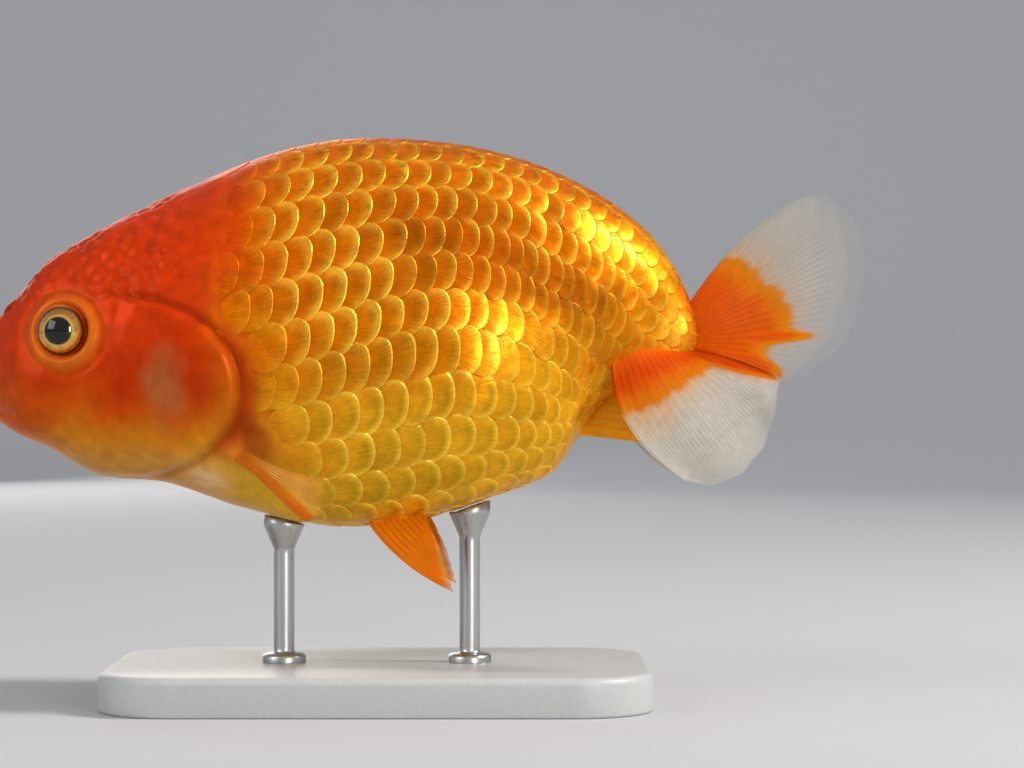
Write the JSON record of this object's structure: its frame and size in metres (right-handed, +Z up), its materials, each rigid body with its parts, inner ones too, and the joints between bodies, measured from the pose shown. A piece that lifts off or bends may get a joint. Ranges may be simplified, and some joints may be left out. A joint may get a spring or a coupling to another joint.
{
  "type": "ranchu goldfish",
  "caption": "Still, life-size ranchu goldfish with a round back, no dorsal fin and a double tail, held level on a small display stand by two short rods.",
  "frame": {"origin": "middle of the underside of the display stand", "axes": "+Z up; the fish faces -X, so its left flank faces -Y and its tail points to +X"},
  "size_m": [0.1381, 0.052, 0.0876],
  "materials": {
    "skin": "gloss",
    "lips": "gloss",
    "gill_cover": "gloss",
    "eye": "gloss",
    "fin": "gloss",
    "tail": "gloss",
    "stand_base": "satin",
    "stand_rod": "satin"
  },
  "bodies": {
    "root": {"head": "skin", "trunk": "skin", "tail_stalk": "skin", "lips": "lips", "gill_cover_left": "gill_cover", "gill_cover_right": "gill_cover", "eye_left": "eye", "eye_right": "eye", "pectoral_fin_left": "fin", "pectoral_fin_right": "fin", "pelvic_fin_left": "fin", "pelvic_fin_right": "fin", "anal_fin_left": "fin", "anal_fin_right": "fin", "tail_upper_left": "tail", "tail_upper_right": "tail", "tail_lower_left": "tail", "tail_lower_right": "tail", "stand_base": "stand_base", "stand_rod_front": "stand_rod", "stand_rod_rear": "stand_rod"}
  },
  "joints": []
}
